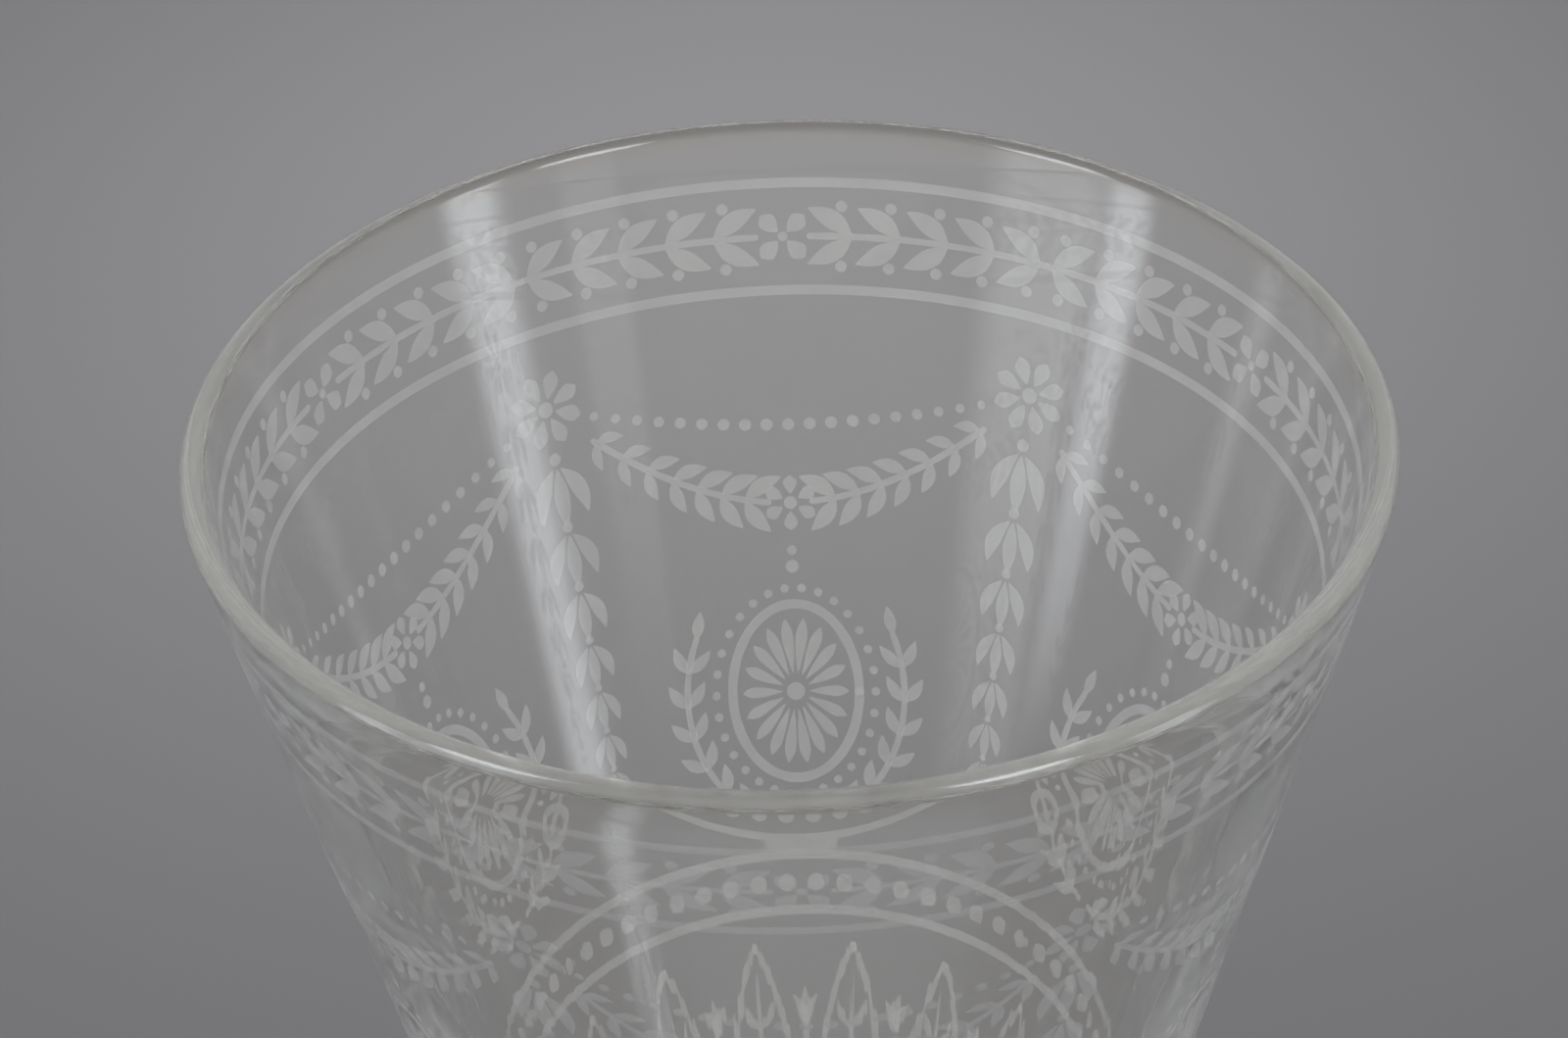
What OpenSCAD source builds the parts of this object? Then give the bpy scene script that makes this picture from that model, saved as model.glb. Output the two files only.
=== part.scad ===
// Stemmed cordial glass, made the way hand-worked stemware is made:
// a blown bowl, a drawn stem and a spun foot, fused together hot with a
// small wafer of glass (a merese) at each end of the stem.
// Millimetres, +Z up, origin at the centre of the face the foot stands on.

/* [Bowl] */
// Outside diameter of the bowl at the rim
rim_d = 48; // [40:1:60]
// Height of the bowl, from its lowest point to the top of the rim
bowl_h = 60; // [45:1:80]
// Outside radius of the ball that closes the bowl below
ball_r = 10.5; // [8:0.5:13]
// Thickness of the wall at the rim
rim_wall = 1; // [0.7:0.1:1.6]
// Thickness of the wall where the cone runs into the round bottom
base_wall = 1.8; // [1.2:0.1:3]
// Thickness of the glass at the lowest point of the bowl
floor_t = 3; // [2:0.1:5]

/* [Upper merese] */
// Outside radius of the wafer between bowl and stem
upper_merese_r = 6; // [5.5:0.1:8]
// Thickness of the wafer between bowl and stem
upper_merese_t = 2; // [1.6:0.1:3.2]
// Depth that the round bottom of the bowl is bedded into this wafer
seat_depth = 0.8; // [0.4:0.1:1]

/* [Stem] */
// Length of the stem between the two wafers
stem_h = 29.3; // [18:0.1:45]
// Radius of the stem at its narrowest, halfway up
waist_r = 3.1; // [2.5:0.1:3.7]
// Radius of the stem at the end faces that meet the wafers
stem_end_r = 4.3; // [4:0.1:4.9]

/* [Lower merese] */
// Outside radius of the wafer between stem and foot
lower_merese_r = 5.8; // [5.5:0.1:8]
// Thickness of the wafer between stem and foot
lower_merese_t = 2; // [1.6:0.1:3.2]

/* [Foot] */
// Diameter of the foot
foot_d = 50; // [44:1:64]
// Height of the foot at its centre
foot_h = 7.5; // [6.5:0.1:10]
// Thickness of the foot at its rounded edge
foot_edge_t = 1.8; // [1.2:0.1:2.4]
// Rise of the upper face of the foot towards the centre, in degrees
foot_slope = 6; // [3:0.5:7]
// Radius of the top of the foot, where the wafer sits
pad_r = 4.7; // [4.4:0.1:5.3]
// Radius of the hollow under the foot
kick_r = 19; // [12:0.5:20]
// Depth of the hollow under the foot
kick_depth = 1.2; // [0.6:0.1:2]

/* [Hidden] */
$fn = 128;
long_arc_fn = 720;
glass = [0.90, 0.93, 0.94, 0.45];

// Heights at which the pieces are fused
lower_merese_z = foot_h;
stem_z = lower_merese_z + lower_merese_t;
upper_merese_z = stem_z + stem_h;
bowl_z = upper_merese_z + upper_merese_t - seat_depth;

// Depth that a straight run is let into an arc that it touches, so that the two cross
let_in = 0.002;

// Bowl: circles that its section is drawn round, above its lowest point
bead_r = rim_wall / 2;
bead_c = [rim_d / 2 - bead_r, bowl_h - bead_r];
lip_r = bead_r - let_in;
ball_c = [0, ball_r];
well_r = ball_r - base_wall;
well_c = [0, floor_t + well_r];

// Stem: arc through both end edges and the waist
waist_in = stem_end_r - waist_r;
waist_arc_r = (pow(stem_h / 2, 2) + pow(waist_in, 2)) / (2 * waist_in);

// Foot: rounded edge, sloping upper face and the hollow arc that lifts it to the pad
foot_edge_r = foot_edge_t / 2;
foot_edge_c = [foot_d / 2 - foot_edge_r, foot_edge_r];
slope_n = [sin(foot_slope), cos(foot_slope)];
slope_at = slope_n * foot_edge_c + foot_edge_r;
lift_r = (slope_n * [pad_r, foot_h] - slope_at) / (1 - slope_n[0]);
lift_c = [pad_r + lift_r, foot_h];
kick_arc_r = (pow(kick_r, 2) + pow(kick_depth, 2)) / (2 * kick_depth);
kick_c = [0, kick_depth - kick_arc_r];

// Unit normal of the line that touches two circles on the same side of both.
// A negative radius puts that circle on the far side of the line.
function touching_normal(c1, r1, c2, r2) =
    let (d = c2 - c1, a = atan2(d[1], d[0]) - acos((r1 - r2) / norm(d)))
    [cos(a), sin(a)];

// Half disc on the positive side of the turning axis
module half_disc(c, r) {
    intersection() {
        translate(c) circle(r);
        translate([0, c[1] - r]) square([r, 2 * r]);
    }
}

// Solid between the axis and the line from the ball to the outer or inner side of the lip
module cone_on_ball(c, r, lip) {
    run_r = r - let_in;
    n = touching_normal(c, run_r, bead_c, lip);
    polygon([c, c + run_r * n, bead_c + lip * n, bead_c, [bead_c[0], bowl_h], [0, bowl_h]]);
    half_disc(c, r);
}

// Disc with a full round edge, standing on z = 0
module wafer_section(r, t) {
    square([r - t / 2, t]);
    translate([r - t / 2, t / 2]) circle(t / 2);
}

module bowl() {
    color(glass) translate([0, 0, bowl_z]) rotate_extrude() {
        difference() {
            cone_on_ball(ball_c, ball_r, lip_r);
            cone_on_ball(well_c, well_r, -lip_r);
        }
        translate(bead_c) circle(bead_r);
    }
}

module upper_merese() {
    color(glass) translate([0, 0, upper_merese_z]) rotate_extrude() difference() {
        wafer_section(upper_merese_r, upper_merese_t);
        half_disc([0, upper_merese_t - seat_depth + ball_r], ball_r);
    }
}

module stem() {
    color(glass) translate([0, 0, stem_z]) rotate_extrude() difference() {
        square([stem_end_r + waist_in, stem_h]);
        translate([waist_r + waist_arc_r, stem_h / 2]) circle(waist_arc_r, $fn = long_arc_fn);
    }
}

module lower_merese() {
    color(glass) translate([0, 0, lower_merese_z]) rotate_extrude()
        wafer_section(lower_merese_r, lower_merese_t);
}

module foot() {
    color(glass) rotate_extrude() difference() {
        union() {
            polygon([
                [0, 0],
                [foot_edge_c[0], 0],
                foot_edge_c + (foot_edge_r - let_in) * slope_n,
                lift_c - (lift_r - let_in) * slope_n,
                lift_c,
                [0, foot_h]
            ]);
            translate(foot_edge_c) circle(foot_edge_r);
        }
        translate(lift_c) circle(lift_r);
        half_disc(kick_c, kick_arc_r, $fn = long_arc_fn);
    }
}

bowl();
upper_merese();
stem();
lower_merese();
foot();
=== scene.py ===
import math
import random

import bpy
from mathutils import Matrix, Vector


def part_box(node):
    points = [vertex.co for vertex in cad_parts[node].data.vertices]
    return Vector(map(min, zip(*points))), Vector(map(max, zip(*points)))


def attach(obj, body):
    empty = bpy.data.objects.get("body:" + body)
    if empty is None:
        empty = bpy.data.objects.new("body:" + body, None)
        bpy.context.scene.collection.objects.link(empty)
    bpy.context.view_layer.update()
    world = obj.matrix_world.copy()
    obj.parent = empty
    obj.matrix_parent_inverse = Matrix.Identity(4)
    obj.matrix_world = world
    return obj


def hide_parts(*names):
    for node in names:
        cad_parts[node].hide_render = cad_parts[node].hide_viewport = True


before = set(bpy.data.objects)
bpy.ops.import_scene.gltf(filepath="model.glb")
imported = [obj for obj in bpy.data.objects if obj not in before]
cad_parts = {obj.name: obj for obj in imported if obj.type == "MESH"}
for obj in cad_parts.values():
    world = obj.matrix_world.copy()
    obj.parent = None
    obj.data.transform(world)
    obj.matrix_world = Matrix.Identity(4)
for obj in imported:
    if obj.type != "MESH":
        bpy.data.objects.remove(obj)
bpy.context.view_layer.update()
mm = 0.001
random.seed(7)
bowlLow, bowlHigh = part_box("bowl")
print("frame loaded:", ", ".join(sorted(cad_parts)))


# General helpers

weldGap = 0.002 * mm  # points of a turned piece that are nearer than this become one
faceSlack = 0.01 * mm  # a face this near to an end plane lies on it
smoothAngle = math.radians(30)


def clearSelection():
    if bpy.context.mode != "OBJECT":
        bpy.ops.object.mode_set(mode="OBJECT")
    bpy.ops.object.select_all(action="DESELECT")


def onCircle(centre, radius, angle):
    return centre[0] + radius * math.cos(angle), centre[1] + radius * math.sin(angle)


def arcPoints(centre, radius, startDeg, endDeg, steps):
    span = endDeg - startDeg
    angles = [math.radians(startDeg + span * i / steps) for i in range(steps + 1)]
    return [onCircle(centre, radius, angle) for angle in angles]


def linePoints(start, end, steps):
    # points between start and end, without these two
    return [tuple(s + (e - s) * i / steps for s, e in zip(start, end)) for i in range(1, steps)]


def touchingNormal(c1, r1, c2, r2):
    # normal of the line that touches both circles; a negative radius is touched on its far side
    dx, dy = c2[0] - c1[0], c2[1] - c1[1]
    return math.atan2(dy, dx) - math.acos((r1 - r2) / math.hypot(dx, dy))


def turnOnLathe(name, profile, baseZ, turns):
    # one vertex is drawn out along the profile (radius and height in mm), then spun about the axis
    clearSelection()
    first = Vector((profile[0][0] * mm, 0, baseZ + profile[0][1] * mm))
    bpy.ops.mesh.primitive_plane_add(size=mm, location=first)
    piece = bpy.context.object
    piece.name = piece.data.name = name
    bpy.ops.object.transform_apply(location=True, rotation=True, scale=True)
    bpy.ops.object.mode_set(mode="EDIT")
    bpy.ops.mesh.select_mode(type="VERT")
    bpy.ops.mesh.select_all(action="SELECT")
    bpy.ops.mesh.merge(type="CENTER")
    for here, there in zip(profile, profile[1:]):
        move = ((there[0] - here[0]) * mm, 0, (there[1] - here[1]) * mm)
        bpy.ops.mesh.extrude_region_move(TRANSFORM_OT_translate={"value": move})
    bpy.ops.mesh.select_all(action="SELECT")
    bpy.ops.mesh.spin(steps=turns, angle=math.tau, center=(0, 0, 0), axis=(0, 0, 1))
    bpy.ops.mesh.select_all(action="SELECT")
    bpy.ops.mesh.remove_doubles(threshold=weldGap)
    bpy.ops.mesh.normals_make_consistent(inside=False)
    bpy.ops.object.mode_set(mode="OBJECT")
    return piece


# Materials

def newMaterial(name):
    mat = bpy.data.materials.new(name)
    mat.use_nodes = True
    return mat, mat.node_tree.nodes, mat.node_tree.links


def noiseNode(nodes, scale, detail):
    noise = nodes.new("ShaderNodeTexNoise")
    noise.inputs["Scale"].default_value = scale
    noise.inputs["Detail"].default_value = detail
    return noise


def rangeNode(nodes, span, results=(0, 1)):
    spread = nodes.new("ShaderNodeMapRange")
    spread.inputs["From Min"].default_value, spread.inputs["From Max"].default_value = span
    spread.inputs["To Min"].default_value, spread.inputs["To Max"].default_value = results
    return spread


def rampNode(nodes, colours, span=(0, 1)):
    ramp = nodes.new("ShaderNodeValToRGB")
    for stop, colour, position in zip(ramp.color_ramp.elements, colours, span):
        stop.position = position
        stop.color = colour
    return ramp


def mathNode(nodes, operation, kind="ShaderNodeMath"):
    step = nodes.new(kind)
    step.operation = operation
    return step


clearGlassLook = {
    "tint": (0.99, 0.984, 0.955, 1),
    "lipTint": (0.965, 0.942, 0.85, 1),
    "lipTintHeights": (bowlHigh.z - 0.001, bowlHigh.z - 0.0004),
    "ior": 1.52,
    "clearness": 0.98,
    "smoothRoughness": 0.0,
    "wipedRoughness": 0.03,
    "smearScale": 160,
    "smearDetail": 3,
    "smearSpan": (0.3, 0.8),
    "smearStretch": (1, 1, 0.12),
    "rippleScale": 70,
    "rippleDetail": 1,
    "rippleHeight": 0.00002,
    "drawnScale": 22,
    "drawnDetail": 3,
    "drawnDrift": (0, 0, 0.8),
    "drawnShare": 0.16,
    "drawnHeights": (bowlLow.z + 0.006, bowlLow.z + 0.02),
    "lipHeights": (bowlHigh.z - 0.004, bowlHigh.z - 0.0015),
    "shadowTint": (0.94, 0.945, 0.945, 1),
}


def makeClearGlass(look):
    mat, nodes, links = newMaterial("clearGlass")
    shader = nodes["Principled BSDF"]
    shader.inputs["Transmission Weight"].default_value = look["clearness"]
    shader.inputs["IOR"].default_value = look["ior"]
    place = nodes.new("ShaderNodeTexCoord")
    upright = nodes.new("ShaderNodeSeparateXYZ")
    links.new(place.outputs["Object"], upright.inputs["Vector"])
    # faint upright smears left by a cloth
    stretch = nodes.new("ShaderNodeMapping")
    stretch.inputs["Scale"].default_value = look["smearStretch"]
    smears = noiseNode(nodes, look["smearScale"], look["smearDetail"])
    wiped = rangeNode(nodes, look["smearSpan"], (look["smoothRoughness"], look["wipedRoughness"]))
    links.new(place.outputs["Object"], stretch.inputs["Vector"])
    links.new(stretch.outputs["Vector"], smears.inputs["Vector"])
    links.new(smears.outputs["Fac"], wiped.inputs["Value"])
    links.new(wiped.outputs["Result"], shader.inputs["Roughness"])
    # fine lines that run up the wall of the bowl, drawn out as it was blown
    flat = mathNode(nodes, "MULTIPLY", "ShaderNodeVectorMath")
    flat.inputs[1].default_value = (1, 1, 0)
    around = mathNode(nodes, "NORMALIZE", "ShaderNodeVectorMath")
    drift = mathNode(nodes, "MULTIPLY_ADD", "ShaderNodeVectorMath")
    drift.inputs[1].default_value = look["drawnDrift"]
    drawn = noiseNode(nodes, look["drawnScale"], look["drawnDetail"])
    onWall = rangeNode(nodes, look["drawnHeights"], (0, look["drawnShare"]))
    links.new(place.outputs["Object"], flat.inputs[0])
    links.new(flat.outputs["Vector"], around.inputs[0])
    links.new(place.outputs["Object"], drift.inputs[0])
    links.new(around.outputs["Vector"], drift.inputs[2])
    links.new(drift.outputs["Vector"], drawn.inputs["Vector"])
    links.new(upright.outputs["Z"], onWall.inputs["Value"])
    # slow ripple of hand-worked glass all over, up to the smooth fire-polished lip
    ripple = noiseNode(nodes, look["rippleScale"], look["rippleDetail"])
    height = mathNode(nodes, "MULTIPLY_ADD")
    belowLip = rangeNode(nodes, look["lipHeights"], (1, 0))
    bump = nodes.new("ShaderNodeBump")
    bump.inputs["Distance"].default_value = look["rippleHeight"]
    links.new(place.outputs["Object"], ripple.inputs["Vector"])
    links.new(drawn.outputs["Fac"], height.inputs[0])
    links.new(onWall.outputs["Result"], height.inputs[1])
    links.new(ripple.outputs["Fac"], height.inputs[2])
    links.new(upright.outputs["Z"], belowLip.inputs["Value"])
    links.new(belowLip.outputs["Result"], bump.inputs["Strength"])
    links.new(height.outputs["Value"], bump.inputs["Height"])
    links.new(bump.outputs["Normal"], shader.inputs["Normal"])
    # the rounded lip is looked through along more glass, so its tint is stronger
    inLip = rangeNode(nodes, look["lipTintHeights"])
    tone = rampNode(nodes, (look["tint"], look["lipTint"]))
    links.new(upright.outputs["Z"], inLip.inputs["Value"])
    links.new(inLip.outputs["Result"], tone.inputs["Fac"])
    links.new(tone.outputs["Color"], shader.inputs["Base Color"])
    # lamps shine through with a light shadow
    lightPath = nodes.new("ShaderNodeLightPath")
    passing = nodes.new("ShaderNodeBsdfTransparent")
    passing.inputs["Color"].default_value = look["shadowTint"]
    mix = nodes.new("ShaderNodeMixShader")
    links.new(lightPath.outputs["Is Shadow Ray"], mix.inputs["Fac"])
    links.new(shader.outputs["BSDF"], mix.inputs[1])
    links.new(passing.outputs["BSDF"], mix.inputs[2])
    links.new(mix.outputs["Shader"], nodes["Material Output"].inputs["Surface"])
    return mat


def makeFusedFace():
    # where two gathers are fused there is no surface to see
    mat, nodes, links = newMaterial("fusedFace")
    nodes.remove(nodes["Principled BSDF"])
    clear = nodes.new("ShaderNodeBsdfTransparent")
    links.new(clear.outputs["BSDF"], nodes["Material Output"].inputs["Surface"])
    return mat


etchLook = {
    "dullColour": (0.82, 0.82, 0.82, 1),
    "paleColour": (0.87, 0.87, 0.86, 1),
    "colourSpan": (0.35, 0.65),
    "roughness": 0.8,
    "specular": 0.15,
    "grainScale": 16000,
    "grainDetail": 2,
    "grainShare": 0.35,
    "biteScale": 420,
    "biteDetail": 3,
    "coverSpan": (0.3, 0.7),
    "thinAlpha": 0.175,
    "thickAlpha": 0.24,
}


def makeEtchedFrost(look):
    mat, nodes, links = newMaterial("etchedFrost")
    shader = nodes["Principled BSDF"]
    shader.inputs["Roughness"].default_value = look["roughness"]
    shader.inputs["Specular IOR Level"].default_value = look["specular"]
    place = nodes.new("ShaderNodeTexCoord")
    # the acid bites a little deeper in some patches, and leaves a very fine grain all over
    grain = noiseNode(nodes, look["grainScale"], look["grainDetail"])
    bite = noiseNode(nodes, look["biteScale"], look["biteDetail"])
    depth = nodes.new("ShaderNodeMix")
    depth.inputs["Factor"].default_value = look["grainShare"]
    links.new(place.outputs["Object"], grain.inputs["Vector"])
    links.new(place.outputs["Object"], bite.inputs["Vector"])
    links.new(bite.outputs["Fac"], depth.inputs["A"])
    links.new(grain.outputs["Fac"], depth.inputs["B"])
    # the deeper the bite, the paler and denser the frost
    colours = rampNode(nodes, (look["dullColour"], look["paleColour"]), look["colourSpan"])
    cover = rangeNode(nodes, look["coverSpan"], (look["thinAlpha"], look["thickAlpha"]))
    links.new(depth.outputs["Result"], colours.inputs["Fac"])
    links.new(colours.outputs["Color"], shader.inputs["Base Color"])
    links.new(depth.outputs["Result"], cover.inputs["Value"])
    links.new(cover.outputs["Result"], shader.inputs["Alpha"])
    return mat


clearGlass = makeClearGlass(clearGlassLook)
fusedFace = makeFusedFace()
etchedFrost = makeEtchedFrost(etchLook)
print("materials ready")


def finishGlass(piece, node, isFused):
    piece.data.materials.append(clearGlass)
    piece.data.materials.append(fusedFace)
    for face in piece.data.polygons:
        face.material_index = 1 if isFused(face.center) else 0
    bpy.ops.object.shade_smooth_by_angle(angle=smoothAngle)
    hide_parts(node)
    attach(piece, "root")


def axisDistance(point):
    return math.hypot(point.x, point.y) / mm


# Bowl: lengths in mm, then the steps along each run of its profile

bowl = {
    "rimRadius": bowlHigh.x / mm,
    "height": (bowlHigh.z - bowlLow.z) / mm,
    "ballRadius": 10.5,
    "rimWall": 1.0,
    "baseWall": 1.8,
    "floorThickness": 3.0,
    "seatDepth": 0.8,
    "seatSteps": 8,
    "ballSteps": 18,
    "wallSteps": 24,
    "lipSteps": 28,
    "wellSteps": 22,
    "turns": 512,
}
bead = bowl["rimWall"] / 2
beadCentre = (bowl["rimRadius"] - bead, bowl["height"] - bead)
ballRadius = bowl["ballRadius"]
ballCentre = (0, ballRadius)
wellRadius = ballRadius - bowl["baseWall"]
wellCentre = (0, bowl["floorThickness"] + wellRadius)
outerTurn = touchingNormal(ballCentre, ballRadius, beadCentre, bead)
innerTurn = touchingNormal(wellCentre, wellRadius, beadCentre, -bead)
outerLow = onCircle(ballCentre, ballRadius, outerTurn)
outerHigh = onCircle(beadCentre, bead, outerTurn)
innerLow = onCircle(wellCentre, wellRadius, innerTurn)
innerHigh = onCircle(beadCentre, -bead, innerTurn)
outerDeg, innerDeg = math.degrees(outerTurn), math.degrees(innerTurn)
seatRadius = math.sqrt(ballRadius ** 2 - (ballRadius - bowl["seatDepth"]) ** 2)
seatDeg = -math.degrees(math.acos(seatRadius / ballRadius))

bowlProfile = (
    arcPoints(ballCentre, ballRadius, -90, seatDeg, bowl["seatSteps"])
    + arcPoints(ballCentre, ballRadius, seatDeg, outerDeg, bowl["ballSteps"])[1:]
    + linePoints(outerLow, outerHigh, bowl["wallSteps"])
    + arcPoints(beadCentre, bead, outerDeg, innerDeg + 180, bowl["lipSteps"])
    + linePoints(innerHigh, innerLow, bowl["wallSteps"])
    + arcPoints(wellCentre, wellRadius, innerDeg, -90, bowl["wellSteps"])
)
bowlProfile[0] = (0, 0)  # both ends exactly on the axis, so that the poles close
bowlProfile[-1] = (0, bowl["floorThickness"])
bowlPiece = turnOnLathe("bowl_glass", bowlProfile, bowlLow.z, bowl["turns"])
seatTop = bowlLow.z + bowl["seatDepth"] * mm
finishGlass(bowlPiece, "bowl", lambda c: c.z < seatTop and axisDistance(c) < seatRadius)
print("bowl turned:", len(bowlPiece.data.polygons), "faces")


# Stem

stemLow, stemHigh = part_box("stem")
stem = {
    "endRadius": stemHigh.x / mm,
    "height": (stemHigh.z - stemLow.z) / mm,
    "waistRadius": 3.1,
    "waistSteps": 32,
    "turns": 128,
}
waistIn = stem["endRadius"] - stem["waistRadius"]
waistArc = ((stem["height"] / 2) ** 2 + waistIn ** 2) / (2 * waistIn)
waistCentre = (stem["waistRadius"] + waistArc, stem["height"] / 2)
waistSpan = math.degrees(math.asin(stem["height"] / 2 / waistArc))
stemProfile = (
    [(0, 0)]
    + arcPoints(waistCentre, waistArc, 180 + waistSpan, 180 - waistSpan, stem["waistSteps"])
    + [(0, stem["height"])]
)
stemPiece = turnOnLathe("stem_glass", stemProfile, stemLow.z, stem["turns"])
finishGlass(
    stemPiece, "stem",
    lambda c: c.z < stemLow.z + faceSlack or c.z > stemHigh.z - faceSlack,
)
print("stem turned:", len(stemPiece.data.polygons), "faces")


# Wafers of glass at the ends of the stem

wafer = {
    "footPadRadius": 4.7,
    "underside": 0.3,  # faces below this height belong to the lower side
    "edgeSteps": 16,
    "turns": 160,
}


def waferEdge(radius, thickness):
    half = thickness / 2
    return arcPoints((radius - half, half), half, -90, 90, wafer["edgeSteps"])


def waferJoints(lowZ, lowRadius, highRadius):
    # the two round faces that are fused to the pieces below and above
    parting = lowZ + wafer["underside"] * mm
    return lambda c: axisDistance(c) < (lowRadius if c.z < parting else highRadius)


upperLow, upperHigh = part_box("upper_merese")
upperThickness = (upperHigh.z - upperLow.z) / mm
seatCentre = (0, upperThickness - bowl["seatDepth"] + ballRadius)
upperProfile = (
    [(0, 0), (stem["endRadius"], 0)]
    + waferEdge(upperHigh.x / mm, upperThickness)
    + arcPoints(seatCentre, ballRadius, seatDeg, -90, bowl["seatSteps"])
)
upperProfile[-1] = (0, upperThickness - bowl["seatDepth"])
upperPiece = turnOnLathe("upper_merese_glass", upperProfile, upperLow.z, wafer["turns"])
finishGlass(upperPiece, "upper_merese", waferJoints(upperLow.z, stem["endRadius"], seatRadius))

lowerLow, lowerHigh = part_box("lower_merese")
lowerThickness = (lowerHigh.z - lowerLow.z) / mm
footPad = wafer["footPadRadius"]
lowerProfile = (
    [(0, 0), (footPad, 0)]
    + waferEdge(lowerHigh.x / mm, lowerThickness)
    + [(stem["endRadius"], lowerThickness), (0, lowerThickness)]
)
lowerPiece = turnOnLathe("lower_merese_glass", lowerProfile, lowerLow.z, wafer["turns"])
finishGlass(lowerPiece, "lower_merese", waferJoints(lowerLow.z, footPad, stem["endRadius"]))
print("wafers turned")


# Foot

footLow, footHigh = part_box("foot")
foot = {
    "radius": footHigh.x / mm,
    "height": (footHigh.z - footLow.z) / mm,
    "edge": 0.9,
    "slopeDeg": 6,
    "kickRadius": 19,
    "kickDepth": 1.2,
    "kickSteps": 14,
    "ringSteps": 3,
    "edgeSteps": 16,
    "slopeSteps": 12,
    "liftSteps": 16,
    "turns": 256,
}
edgeCentre = (foot["radius"] - foot["edge"], foot["edge"])
slopeTurn = math.radians(90 - foot["slopeDeg"])
slopeX, slopeY = math.cos(slopeTurn), math.sin(slopeTurn)
slopeAt = slopeX * edgeCentre[0] + slopeY * edgeCentre[1] + foot["edge"]
liftRadius = (slopeX * footPad + slopeY * foot["height"] - slopeAt) / (1 - slopeX)
liftCentre = (footPad + liftRadius, foot["height"])
slopeLow = onCircle(edgeCentre, foot["edge"], slopeTurn)
slopeHigh = onCircle(liftCentre, -liftRadius, slopeTurn)
kickArc = (foot["kickRadius"] ** 2 + foot["kickDepth"] ** 2) / (2 * foot["kickDepth"])
kickCentre = (0, foot["kickDepth"] - kickArc)
kickDeg = math.degrees(math.acos(foot["kickRadius"] / kickArc))
footProfile = (
    arcPoints(kickCentre, kickArc, 90, kickDeg, foot["kickSteps"])
    + linePoints((foot["kickRadius"], 0), (edgeCentre[0], 0), foot["ringSteps"])
    + arcPoints(edgeCentre, foot["edge"], -90, 90 - foot["slopeDeg"], foot["edgeSteps"])
    + linePoints(slopeLow, slopeHigh, foot["slopeSteps"])
    + arcPoints(liftCentre, liftRadius, 270 - foot["slopeDeg"], 180, foot["liftSteps"])
    + [(0, foot["height"])]
)
footProfile[0] = (0, foot["kickDepth"])
footPiece = turnOnLathe("foot_glass", footProfile, footLow.z, foot["turns"])
finishGlass(footPiece, "foot", lambda c: c.z > footHigh.z - faceSlack)
print("foot turned:", len(footPiece.data.polygons), "faces")


# Etched decoration: drawn flat on the unrolled cone in mm, then wrapped on the bowl

coneTilt = math.atan2(outerHigh[0] - outerLow[0], outerHigh[1] - outerLow[1])
coneSine, coneCosine = math.sin(coneTilt), math.cos(coneTilt)
apexZ = bowlLow.z / mm + outerHigh[1] - outerHigh[0] / math.tan(coneTilt)
rimSlant = outerHigh[0] / coneSine
etch = {
    "bays": 6,
    "ringTurns": 256,
    "line": 0.44,
    "fine": 0.3,
    "wobble": 0.012,
    "filmInside": 0.012,
    "filmOutside": 0.02,
    "levelGap": 1e-4,  # points this near to the drawing's own level stay on the cone
    "roundEnd": ((0.95, 0.3), (0.7, 0.7), (0.35, 0.93)),  # way out and width, in half lines
    "roundDot": (-0.98, -0.8, -0.4, 0, 0.4, 0.8, 0.98),
    "leafSteps": 9,
    "leafFullness": 0.9,
    "leafPoint": 0.02,
}
bayTurn = math.tau / etch["bays"]


def onCone(slant, lift):
    # radius and height of a spot at this distance from the apex, lifted off the wall
    return slant * coneSine + lift * coneCosine, apexZ + slant * coneCosine - lift * coneSine


def flatPoint(turn, drop):
    # turn is the angle round the glass from its back, drop the distance below the rim
    slant, fan = rimSlant - drop, turn * coneSine
    return Vector((slant * math.sin(fan), slant * math.cos(fan)))


def flatAxes(turn):
    fan = turn * coneSine
    return Vector((math.cos(fan), -math.sin(fan))), Vector((math.sin(fan), math.cos(fan)))


def placed(turn, drop, points):
    # points drawn in mm about a spot, with x to the right and y up the wall
    across, upward = flatAxes(turn)
    spot = flatPoint(turn, drop)
    return [spot + across * x + upward * y for x, y in points]


def lineStroke(points, width):
    # line with a slight wobble of its width and round ends
    half = width / 2
    halves = [half * (1 + random.uniform(-1, 1) * etch["wobble"] / half) for _ in points]
    first = (points[0] - points[1]).normalized()
    last = (points[-1] - points[-2]).normalized()
    head = [points[0] + first * half * out for out, _ in etch["roundEnd"]]
    tail = [points[-1] + last * half * out for out, _ in reversed(etch["roundEnd"])]
    taper = [half * share for _, share in etch["roundEnd"]]
    return head + points + tail, taper + halves + taper[::-1]


def leafStroke(root, tip, width, bulge=0.45, bow=0.0):
    # pointed leaf from root to tip, widest at bulge, bowed to one side
    along = tip - root
    side = Vector((-along.y, along.x))
    points, halves = [], []
    for i in range(etch["leafSteps"] + 1):
        t = i / etch["leafSteps"]
        points.append(root + along * t + side * bow * math.sin(math.pi * t))
        swell = t / bulge if t < bulge else (1 - t) / (1 - bulge)
        fullness = math.sin(math.pi / 2 * swell) ** etch["leafFullness"]
        halves.append(max(etch["leafPoint"], width / 2 * fullness))
    return points, halves


def leafAt(turn, drop, root, tip, width, bulge=0.45, bow=0.0):
    # leaf whose root and tip are given in mm about a spot
    return leafStroke(*placed(turn, drop, [root, tip]), width, bulge, bow)


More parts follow.
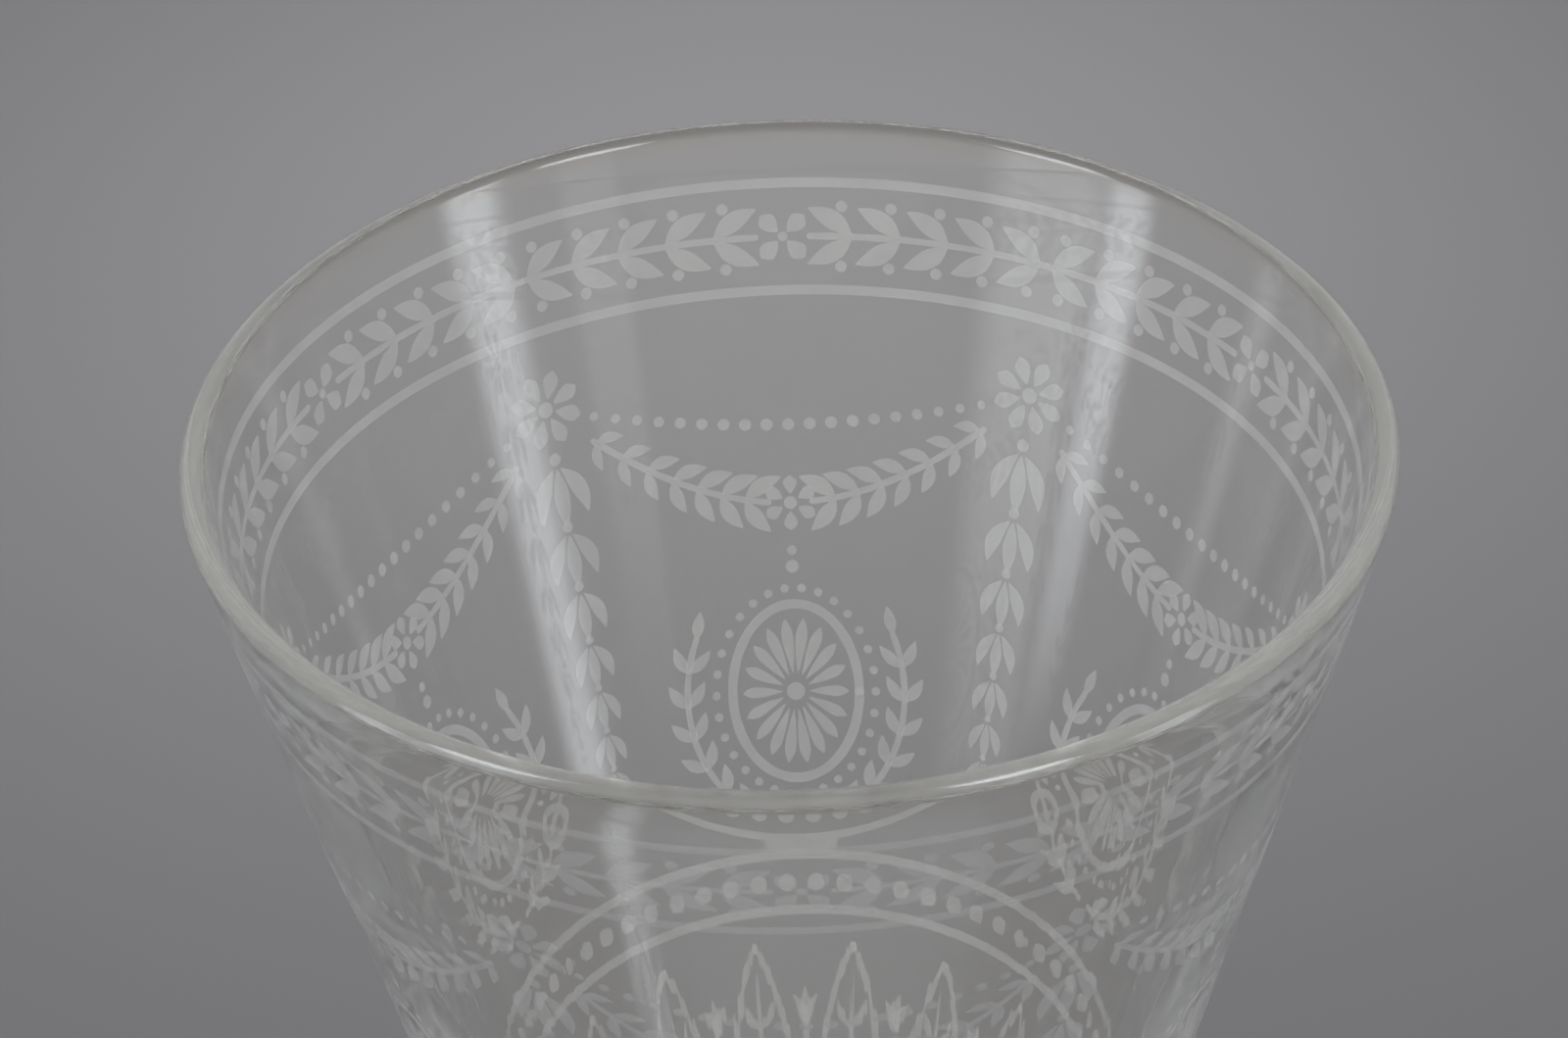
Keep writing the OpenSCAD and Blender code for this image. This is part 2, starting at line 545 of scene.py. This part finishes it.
def leafPair(here, ahead, leaf, size=1):
    # two leaves that part from a stalk to both sides
    along = (ahead - here).normalized()
    across = Vector((-along.y, along.x))
    strokes = []
    for up in (-1, 1):
        root = here + across * up * leaf["root"]
        tip = here + along * size * leaf["ahead"] + across * up * size * leaf["out"]
        strokes.append(leafStroke(root, tip, leaf["width"] * size, bow=leaf["bow"] * up))
    return strokes


def dotStroke(spot, radius):
    # round dot, drawn as one very short stroke
    points = [spot + Vector((radius * s, 0)) for s in etch["roundDot"]]
    return points, [radius * math.sqrt(1 - s * s) for s in etch["roundDot"]]


def flowerStrokes(turn, drop, flower):
    strokes = []
    for petal in range(flower["petals"]):
        a = math.tau * (petal + 0.5) / flower["petals"]
        root, tip = (onCircle((0, 0), flower[end], a) for end in ("petalRoot", "petalTip"))
        strokes.append(leafAt(turn, drop, root, tip, flower["petalWidth"], flower["petalBulge"]))
    strokes.append(dotStroke(flatPoint(turn, drop), flower["heart"]))
    return strokes


def finishEtching(piece):
    piece.data.materials.clear()
    piece.data.materials.append(etchedFrost)
    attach(piece, "root")


def wrapOnCone(piece):
    for vertex in piece.data.vertices:
        x, y, z = (c / mm for c in vertex.co)
        slant, turn = math.hypot(x, y), math.atan2(x, y) / coneSine
        lift = 0
        if abs(z) >= etch["levelGap"]:
            lift = etch["filmOutside"] if z > 0 else -etch["filmInside"]
        radius, height = onCone(slant, lift)
        vertex.co = Vector((radius * math.sin(turn), radius * math.cos(turn), height)) * mm


def drawEtching(name, strokes):
    # each stroke is a flat tube that is wide where the stroke is wide
    clearSelection()
    bpy.ops.curve.primitive_nurbs_path_add()
    piece = bpy.context.object
    piece.name = name
    curve = piece.data
    curve.splines.clear()
    curve.dimensions = "2D"
    curve.fill_mode = "NONE"
    curve.bevel_depth = mm
    curve.bevel_resolution = 0
    for points, halves in strokes:
        spline = curve.splines.new("POLY")
        spline.points.add(len(points) - 1)
        for knot, spot, half in zip(spline.points, points, halves):
            knot.co = (spot.x * mm, spot.y * mm, 0, 1)
            knot.radius = half
    piece.location = (0, 0, 0)
    bpy.ops.object.convert(target="MESH")
    piece = bpy.context.object
    wrapOnCone(piece)
    bpy.ops.object.mode_set(mode="EDIT")
    bpy.ops.mesh.select_all(action="SELECT")
    bpy.ops.mesh.fill_holes(sides=4)  # closes both ends of each stroke
    bpy.ops.mesh.select_all(action="SELECT")
    bpy.ops.mesh.normals_make_consistent(inside=False)
    bpy.ops.object.mode_set(mode="OBJECT")
    bpy.ops.object.shade_flat()
    finishEtching(piece)
    print(name, len(strokes), "strokes,", len(piece.data.polygons), "faces")


def ringRule(name, drops, width):
    # plain rules right round the bowl
    half = width / 2
    rings = []
    for drop in drops:
        slant = rimSlant - drop
        corners = [
            (slant - half, 0),
            (slant, etch["filmOutside"]),
            (slant + half, 0),
            (slant, -etch["filmInside"]),
        ]
        profile = [onCone(*corner) for corner in corners + corners[:1]]
        rings.append(turnOnLathe(name, profile, 0, etch["ringTurns"]))
    clearSelection()
    for ring in rings:
        ring.select_set(True)
    bpy.context.view_layer.objects.active = rings[0]
    if len(rings) > 1:
        bpy.ops.object.join()
    finishEtching(rings[0])


# Laurel band under the rim: leaves run from each bay's edge to a small flower at its middle
laurel = {
    "rules": [2.3, 7.1],
    "drop": 4.7,
    "reach": 0.9,
    "stalkSteps": 24,
    "pairs": 5,
    "firstPair": 0.15,
    "leafRoot": 0.1,
    "leafLength": 2.3,
    "leafWidth": 0.86,
    "leafBow": 0.05,
    "spreadDeg": 33,
    "berry": 0.26,
    "berryPlace": (0.45, 1.34),
    "flower": {
        "petals": 4,
        "petalRoot": 0.28,
        "petalTip": 1.35,
        "petalWidth": 0.8,
        "petalBulge": 0.65,
        "heart": 0.22,
    },
}
ringRule("etched_rim_rules", laurel["rules"], etch["line"])


def laurelStrokes():
    strokes = []
    drop, steps = laurel["drop"], laurel["stalkSteps"]
    reach = bayTurn / 2 * laurel["reach"]
    spread = math.radians(laurel["spreadDeg"])
    tipX, tipY = onCircle((0, 0), laurel["leafLength"], spread)
    berryX, berryY = laurel["berryPlace"]
    for bay in range(etch["bays"]):
        middle = bay * bayTurn
        for side in (-1, 1):
            edge = middle + side * bayTurn / 2
            stalk = [flatPoint(edge - side * reach * i / steps, drop) for i in range(steps + 1)]
            strokes.append(lineStroke(stalk, etch["fine"]))
            for pair in range(laurel["pairs"]):
                turn = edge - side * reach * (pair + laurel["firstPair"]) / laurel["pairs"]
                for up in (-1, 1):
                    root, tip = (0, up * laurel["leafRoot"]), (-side * tipX, up * tipY)
                    bow = -side * up * laurel["leafBow"]
                    strokes.append(leafAt(turn, drop, root, tip, laurel["leafWidth"], bow=bow))
                berries = placed(turn, drop, [(-side * berryX, up * berryY) for up in (-1, 1)])
                strokes += [dotStroke(spot, laurel["berry"]) for spot in berries]
        strokes += flowerStrokes(middle, drop, laurel["flower"])
    return strokes


drawEtching("etched_laurel_band", laurelStrokes())


# Swags hung from rosettes at the edges of the bays; spans are shares of a bay from its edge
swag = {
    "drop": 10.6,
    "sag": 6.2,
    "stalkSpan": (0.09, 0.452),
    "stalkSteps": 24,
    "leafSpan": (0.09, 0.402),
    "pairs": 7,
    "firstPair": 0.1,
    "leafSize": 1.2,
    "leafGrowth": 0.8,
    "growthPower": 1.5,
    "leaf": {"root": 0.06, "ahead": 0.72, "out": 0.66, "width": 0.38, "bow": 0.06},
    "lookAhead": 0.01,
    "beadSag": 2.6,
    "beads": 19,
    "beadStart": 0.1,
    "beadRadius": 0.17,
    "beadGrowth": 0.11,
    "flower": {
        "petals": 6,
        "petalRoot": 0.405,
        "petalTip": 1.25,
        "petalWidth": 0.62,
        "petalBulge": 0.68,
        "heart": 0.3,
    },
    "rosette": {
        "petals": 8,
        "petalRoot": 0.486,
        "petalTip": 1.75,
        "petalWidth": 0.72,
        "petalBulge": 0.68,
        "heart": 0.36,
    },
}


def swagPoint(middle, t, sag):
    # spot on a hanging curve that crosses the bay as t goes from 0 to 1
    turn = middle + bayTurn * (t - 0.5)
    return flatPoint(turn, swag["drop"] + sag * (1 - (2 * t - 1) ** 2))


def alongSwag(side, span, share):
    # place on the curve at a share of the span, counted from one edge of the bay
    return 0.5 + side * (0.5 - span[0] - (span[1] - span[0]) * share)


def swagStrokes():
    strokes = []
    sag, steps = swag["sag"], swag["stalkSteps"]
    lastPair = swag["pairs"] - 1 + swag["firstPair"]
    for bay in range(etch["bays"]):
        middle = bay * bayTurn
        for side in (-1, 1):
            spots = [alongSwag(side, swag["stalkSpan"], i / steps) for i in range(steps + 1)]
            stalk = [swagPoint(middle, t, sag) for t in spots]
            strokes.append(lineStroke(stalk, etch["fine"]))
            for pair in range(swag["pairs"]):
                t = alongSwag(side, swag["leafSpan"], (pair + swag["firstPair"]) / lastPair)
                here = swagPoint(middle, t, sag)
                ahead = swagPoint(middle, t - side * swag["lookAhead"], sag)
                growth = math.sin(math.pi * t) ** swag["growthPower"]
                size = swag["leafSize"] + swag["leafGrowth"] * growth
                strokes += leafPair(here, ahead, swag["leaf"], size)
        strokes += flowerStrokes(middle, swag["drop"] + sag, swag["flower"])
        for i in range(swag["beads"]):
            t = swag["beadStart"] + (1 - 2 * swag["beadStart"]) * i / (swag["beads"] - 1)
            radius = swag["beadRadius"] + swag["beadGrowth"] * math.sin(math.pi * t)
            strokes.append(dotStroke(swagPoint(middle, t, swag["beadSag"]), radius))
    return strokes


def rosetteStrokes():
    strokes = []
    for bay in range(etch["bays"]):
        strokes += flowerStrokes((bay + 0.5) * bayTurn, swag["drop"], swag["rosette"])
    return strokes


drawEtching("etched_swags", swagStrokes())
drawEtching("etched_rosettes", rosetteStrokes())


# Drops of husks that hang below the rosettes; a husk's own sizes are shares of its length
husk = {
    "firstDrop": 12.9,
    "count": 7,
    "firstLength": 3.2,
    "shrink": 0.9,
    "step": 0.98,
    "knot": 0.09,
    "petals": ((-1, 0.86), (0, 1.0), (1, 0.86)),  # lean and reach
    "petalRoot": (0.06, 0.14),
    "petalLean": 0.36,
    "petalWidth": 0.24,
    "petalBulge": 0.5,
    "petalBow": 0.1,
    "tailDots": (0.3, 0.24, 0.18),
    "tailGap": 0.3,
    "tailStep": 0.8,
}


def huskStrokes():
    strokes = []
    rootX, rootY = husk["petalRoot"]
    for bay in range(etch["bays"]):
        edge = (bay + 0.5) * bayTurn
        drop, length = husk["firstDrop"], husk["firstLength"]
        for _ in range(husk["count"]):
            strokes.append(dotStroke(flatPoint(edge, drop), husk["knot"] * length))
            for lean, reach in husk["petals"]:
                root = (lean * rootX * length, -rootY * length)
                tip = (lean * husk["petalLean"] * length, -reach * length)
                width, bow = husk["petalWidth"] * length, husk["petalBow"] * lean
                strokes.append(leafAt(edge, drop, root, tip, width, husk["petalBulge"], bow))
            drop += length * husk["step"]
            length *= husk["shrink"]
        for i, radius in enumerate(husk["tailDots"]):
            spot = flatPoint(edge, drop + husk["tailGap"] + husk["tailStep"] * i)
            strokes.append(dotStroke(spot, radius))
    return strokes


drawEtching("etched_husk_drops", huskStrokes())


# Oval medallion with laurel sprays in the middle of each bay
medallion = {
    "drop": 25.6,
    "across": 2.9,
    "upright": 4.1,
    "ovalSteps": 64,
    "petals": 18,
    "petalRoot": (0.62, 0.88),
    "petalReach": 0.84,
    "petalWidth": 0.52,
    "petalBulge": 0.72,
    "heart": 0.42,
    "beads": 30,
    "beadGap": 0.75,
    "beadRadius": 0.2,
    "topDots": (0.3, 0.22),
    "topGap": 1.75,
    "topStep": 0.75,
}
spray = {
    "across": 5.0,
    "upright": 6.2,
    "startDeg": -86,
    "spanDeg": 112,
    "steps": 30,
    "firstLeaf": 2,
    "leafEvery": 4,
    "leaf": {"root": 0, "ahead": 1.15, "out": 0.85, "width": 0.56, "bow": 0.05},
    "tipLean": 0.25,
    "tipLength": 1.3,
}


def ovalPoint(scaleX, scaleY, angle):
    return scaleX * math.cos(angle), scaleY * math.sin(angle)


def sprayStrokes(middle, drop, side):
    steps, span = spray["steps"], spray["spanDeg"]
    angles = [math.radians(spray["startDeg"] + span * i / steps) for i in range(steps + 1)]
    oval = [ovalPoint(spray["across"], spray["upright"], a) for a in angles]
    stalk = [(side * x, y) for x, y in oval]
    strokes = [lineStroke(placed(middle, drop, stalk), etch["fine"])]
    for i in range(spray["firstLeaf"], steps - 1, spray["leafEvery"]):
        here, ahead = placed(middle, drop, stalk[i:i + 2])
        strokes += leafPair(here, ahead, spray["leaf"])
    root = stalk[-1]
    tip = (root[0] - side * spray["tipLean"], root[1] + spray["tipLength"])
    strokes.append(leafAt(middle, drop, root, tip, spray["leaf"]["width"]))
    return strokes


def medallionStrokes():
    strokes = []
    drop, across, upright = medallion["drop"], medallion["across"], medallion["upright"]
    steps, petals, beads = medallion["ovalSteps"], medallion["petals"], medallion["beads"]
    gap, reach = medallion["beadGap"], medallion["petalReach"]
    width, bulge = medallion["petalWidth"], medallion["petalBulge"]
    for bay in range(etch["bays"]):
        middle = bay * bayTurn
        oval = [ovalPoint(across, upright, math.tau * i / steps) for i in range(steps + 1)]
        strokes.append(lineStroke(placed(middle, drop, oval), etch["line"]))
        for petal in range(petals):
            a = math.tau * petal / petals
            root = ovalPoint(*medallion["petalRoot"], a)
            tip = ovalPoint(across * reach, upright * reach, a)
            strokes.append(leafAt(middle, drop, root, tip, width, bulge))
        strokes.append(dotStroke(flatPoint(middle, drop), medallion["heart"]))
        ring = [ovalPoint(across + gap, upright + gap, math.tau * i / beads) for i in range(beads)]
        for spot in placed(middle, drop, ring):
            strokes.append(dotStroke(spot, medallion["beadRadius"]))
        for side in (-1, 1):
            strokes += sprayStrokes(middle, drop, side)
        for i, radius in enumerate(medallion["topDots"]):
            rise = upright + medallion["topGap"] + medallion["topStep"] * i
            strokes.append(dotStroke(placed(middle, drop, [(0, rise)])[0], radius))
    return strokes


drawEtching("etched_medallions", medallionStrokes())


# Beaded band and upright leaves on the lower part of the bowl
lowerBand = {"rules": [34.2, 36.8, 51.4], "beadDrop": 35.5, "beads": 66, "beadRadius": 0.42}
ringRule("etched_lower_rules", lowerBand["rules"], etch["line"])


def evenTurn(number, count):
    # angle of one of so many like motifs round the whole bowl
    return math.tau * (number + 0.5) / count - math.pi


def beadRowStrokes():
    turns = [evenTurn(i, lowerBand["beads"]) for i in range(lowerBand["beads"])]
    spots = [flatPoint(turn, lowerBand["beadDrop"]) for turn in turns]
    return [dotStroke(spot, lowerBand["beadRadius"]) for spot in spots]


drawEtching("etched_bead_row", beadRowStrokes())

waterLeaf = {
    "count": 18,
    "rootDrop": 50.6,
    "length": 12.2,
    "width": 3.0,
    "lean": 0.9,
    "fullness": 0.8,
    "edgeSteps": 24,
    "veins": 4,
    "firstVein": 0.2,
    "veinStep": 0.16,
    "veinRise": 0.11,
    "veinRoot": 0.12,
    "veinReach": 0.72,
    "veinWidth": 0.34,
    "veinBulge": 0.35,
    "veinBow": 0.08,
    "ribRoot": 0.4,
    "ribReach": 0.9,
    "ribWidth": 0.42,
    "ribBulge": 0.3,
}
waterBud = {
    "stalkRoot": 3.2,
    "stalkStep": 0.6,
    "stalkSteps": 8,
    "height": 8.3,
    "petals": ((-1, 1.5), (0, 1.9), (1, 1.5)),  # lean and reach
    "petalRoot": 0.08,
    "petalLean": 0.62,
    "petalWidth": 0.5,
    "petalBow": 0.12,
}


def leafHalfWidth(t):
    swell = math.sin(math.pi * t ** waterLeaf["lean"])
    return waterLeaf["width"] / 2 * swell ** waterLeaf["fullness"]


def leafSideStrokes(turn, side):
    # one edge of an upright leaf, and the veins on its side of the rib
    drop, length, steps = waterLeaf["rootDrop"], waterLeaf["length"], waterLeaf["edgeSteps"]
    width, bulge = waterLeaf["veinWidth"], waterLeaf["veinBulge"]
    edge = [(side * leafHalfWidth(i / steps), length * i / steps) for i in range(steps + 1)]
    strokes = [lineStroke(placed(turn, drop, edge), etch["fine"])]
    for vein in range(waterLeaf["veins"]):
        low = waterLeaf["firstVein"] + waterLeaf["veinStep"] * vein
        high = low + waterLeaf["veinRise"]
        root = (side * waterLeaf["veinRoot"], length * low)
        tip = (side * leafHalfWidth(high) * waterLeaf["veinReach"], length * high)
        bow = -waterLeaf["veinBow"] * side
        strokes.append(leafAt(turn, drop, root, tip, width, bulge, bow))
    return strokes


def budStrokes(turn):
    # small bud on a stalk between two upright leaves
    drop, height = waterLeaf["rootDrop"], waterBud["height"]
    start, step, steps = waterBud["stalkRoot"], waterBud["stalkStep"], waterBud["stalkSteps"]
    stalk = [(0, start + step * i) for i in range(steps + 1)]
    strokes = [lineStroke(placed(turn, drop, stalk), etch["fine"])]
    for lean, reach in waterBud["petals"]:
        root = (lean * waterBud["petalRoot"], height)
        tip = (lean * waterBud["petalLean"], height + reach)
        bow = waterBud["petalBow"] * lean
        strokes.append(leafAt(turn, drop, root, tip, waterBud["petalWidth"], bow=bow))
    return strokes


def waterLeafStrokes():
    strokes = []
    drop = waterLeaf["rootDrop"]
    ribRoot, ribTip = (0, waterLeaf["ribRoot"]), (0, waterLeaf["length"] * waterLeaf["ribReach"])
    width, bulge = waterLeaf["ribWidth"], waterLeaf["ribBulge"]
    for leaf in range(waterLeaf["count"]):
        turn = evenTurn(leaf, waterLeaf["count"])
        for side in (-1, 1):
            strokes += leafSideStrokes(turn, side)
        strokes.append(leafAt(turn, drop, ribRoot, ribTip, width, bulge))
        strokes += budStrokes(turn + math.pi / waterLeaf["count"])
    return strokes


drawEtching("etched_water_leaves", waterLeafStrokes())
print("etching wrapped")


# Studio: plain floor, even sky, softboxes, and cards that only the glass mirrors

studio = {
    "floorSize": 12,
    "floorColour": (0.25, 0.246, 0.254, 1),
    "floorRoughness": 0.9,
    "skyColour": (0.4, 0.4, 0.41, 1),
}
softboxes = {
    "front_softbox_right": {
        "place": (0.475, -0.562, 0.62),
        "aim": (0, 0, 0.08),
        "size": (0.32, 0.34),
        "power": 1.75,
        "softEdge": (0.1, 0.1),
        "mirrored": True,
    },
    "front_softbox_left": {
        "place": (-0.635, -0.377, 0.62),
        "aim": (0, 0, 0.08),
        "size": (0.32, 0.34),
        "power": 1.75,
        "softEdge": (0.1, 0.1),
        "mirrored": True,
    },
    "back_softbox": {
        "place": (-0.3, 0.72, 0.6),
        "aim": (0, 0, 0.08),
        "size": (0.7, 0.7),
        "power": 1.6,
        "softEdge": (0.1, 0.1),
        "mirrored": False,
    },
}
cardLight = (0.93, 0.99, 1.08)
cards = {
    "side_card_right": {
        "place": (0.186, -0.091, 0.105),
        "aim": (0, 0, 0.105),
        "size": (0.066, 0.205),
        "power": 0.115,
        "softEdge": (0.4, 0.05),
    },
    "side_strip_left": {
        "place": (-0.199, -0.06, 0.12),
        "aim": (0, 0, 0.12),
        "size": (0.052, 0.175),
        "power": 0.08,
        "softEdge": (0.4, 0.1),
    },
    "side_card_left": {
        "place": (-0.174, -0.117, 0.11),
        "aim": (0, 0, 0.11),
        "size": (0.128, 0.2),
        "power": 0.105,
        "softEdge": (0.3, 0.3),
    },
    "low_strip_left": {
        "place": (-0.144, 0.06, 0.058),
        "aim": (0.019, 0.0105, 0.093),
        "size": (0.036, 0.07),
        "power": 0.006,
        "softEdge": (0.5, 0.35),
    },
    "veil_card_right": {
        "place": (0.12, -0.148, 0.082),
        "aim": (-0.007, 0.019, 0.088),
        "size": (0.052, 0.08),
        "power": 0.0075,
        "softEdge": (0.25, 0.4),
    },
    "low_card_front": {
        "place": (0, -0.062, 0.002),
        "aim": (0, -0.062, 0.1),
        "size": (0.15, 0.066),
        "power": 0.008,
        "softEdge": (0.35, 0.35),
    },
    "rim_card_right": {
        "place": (0.513, -0.607, 0.656),
        "aim": (0, 0, 0.1),
        "size": (0.32, 0.95),
        "power": 2.6,
        "softEdge": (0.3, 0.3),
    },
    "rim_card_left": {
        "place": (-0.684, -0.406, 0.656),
        "aim": (0, 0, 0.1),
        "size": (0.32, 0.95),
        "power": 2.6,
        "softEdge": (0.3, 0.3),
    },
}
floorGlow = {
    "place": (0, 0.175, 0.9),
    "spreadDeg": 11.5,
    "blend": 1,
    "power": 18,
    "lampRadius": 0.05,
}


def makeFloor():
    clearSelection()
    bpy.ops.mesh.primitive_plane_add(size=studio["floorSize"])
    floor = bpy.context.object
    floor.name = "studio_floor"
    mat, nodes, _ = newMaterial("studioFloor")
    shader = nodes["Principled BSDF"]
    shader.inputs["Base Color"].default_value = studio["floorColour"]
    shader.inputs["Roughness"].default_value = studio["floorRoughness"]
    shader.inputs["Specular IOR Level"].default_value = 0
    floor.data.materials.append(mat)


def makeSky():
    world = bpy.data.worlds.new("studioSky")
    world.use_nodes = True
    world.node_tree.nodes["Background"].inputs["Color"].default_value = studio["skyColour"]
    bpy.context.scene.world = world


def fadeToEdges(light, softEdge):
    # the cloth of a softbox is brightest in the middle and falls off towards its frame
    light.use_nodes = True
    nodes, links = light.node_tree.nodes, light.node_tree.links
    surface = nodes.new("ShaderNodeNewGeometry")
    split = nodes.new("ShaderNodeSeparateXYZ")
    links.new(surface.outputs["Parametric"], split.inputs["Vector"])
    product = mathNode(nodes, "MULTIPLY")
    for slot, (axis, share) in enumerate(zip("XY", softEdge)):
        toEdge = mathNode(nodes, "PINGPONG")
        toEdge.inputs[1].default_value = 0.5
        fade = rangeNode(nodes, (0, share))
        fade.interpolation_type = "SMOOTHSTEP"
        links.new(split.outputs[axis], toEdge.inputs[0])
        links.new(toEdge.outputs["Value"], fade.inputs["Value"])
        links.new(fade.outputs["Result"], product.inputs[slot])
    links.new(product.outputs["Value"], nodes["Emission"].inputs["Strength"])


def addSoftbox(name, box):
    clearSelection()
    bpy.ops.object.light_add(type="AREA", location=box["place"])
    lamp = bpy.context.object
    lamp.name = name
    lamp.data.shape = "RECTANGLE"
    lamp.data.size, lamp.data.size_y = box["size"]
    lamp.data.energy = box["power"]
    toAim = Vector(box["aim"]) - Vector(box["place"])
    lamp.rotation_euler = toAim.to_track_quat("-Z", "Y").to_euler()
    lamp.visible_camera = False
    fadeToEdges(lamp.data, box["softEdge"])
    return lamp


def addFloorGlow():
    # soft pool of light on the floor behind the glass
    clearSelection()
    bpy.ops.object.light_add(type="SPOT", location=floorGlow["place"])
    lamp = bpy.context.object
    lamp.name = "floor_glow"
    lamp.data.spot_size = math.radians(floorGlow["spreadDeg"])
    lamp.data.spot_blend = floorGlow["blend"]
    lamp.data.energy = floorGlow["power"]
    lamp.data.shadow_soft_size = floorGlow["lampRadius"]
    lamp.visible_camera = False


makeFloor()
makeSky()
for boxName, softbox in softboxes.items():
    boxLamp = addSoftbox(boxName, softbox)
    boxLamp.visible_transmission = False  # not seen through the glass
    boxLamp.visible_glossy = softbox["mirrored"]
for cardName, card in cards.items():
    cardLamp = addSoftbox(cardName, card)
    cardLamp.data.color = cardLight
    cardLamp.visible_diffuse = False  # lights neither the floor nor the etching
addFloorGlow()
print("studio lit")


# Camera at the photograph's viewing angle

view = {
    "distance": 235,
    "elevationDeg": 33.92,
    "tiltDeg": 34.777,
    "panDeg": 0.081,
    "rollDeg": 1.761,
    "lens": 137.0,
    "sensorWidth": 36,
    "clip": (0.01, 50),
}


def makeCamera():
    clearSelection()
    rise = math.radians(view["elevationDeg"])
    away = Vector((0, -math.cos(rise), math.sin(rise))) * view["distance"] * mm
    bpy.ops.object.camera_add(location=away + Vector((0, 0, bowlHigh.z)))
    camera = bpy.context.object
    camera.name = "photo_camera"
    camera.data.sensor_width = view["sensorWidth"]
    camera.data.lens = view["lens"]
    camera.data.clip_start, camera.data.clip_end = view["clip"]
    turn = (
        Matrix.Rotation(math.radians(view["panDeg"]), 4, "Z")
        @ Matrix.Rotation(math.radians(90 - view["tiltDeg"]), 4, "X")
        @ Matrix.Rotation(math.radians(-view["rollDeg"]), 4, "Z")
    )
    camera.rotation_euler = turn.to_euler()
    bpy.context.scene.camera = camera


makeCamera()
scene = bpy.context.scene
scene.cycles.max_bounces = 40  # light crosses many walls of glass on its way
scene.cycles.glossy_bounces = 32
scene.cycles.transmission_bounces = 32
scene.cycles.transparent_max_bounces = 32
bpy.context.scene.view_settings.view_transform = "Standard"
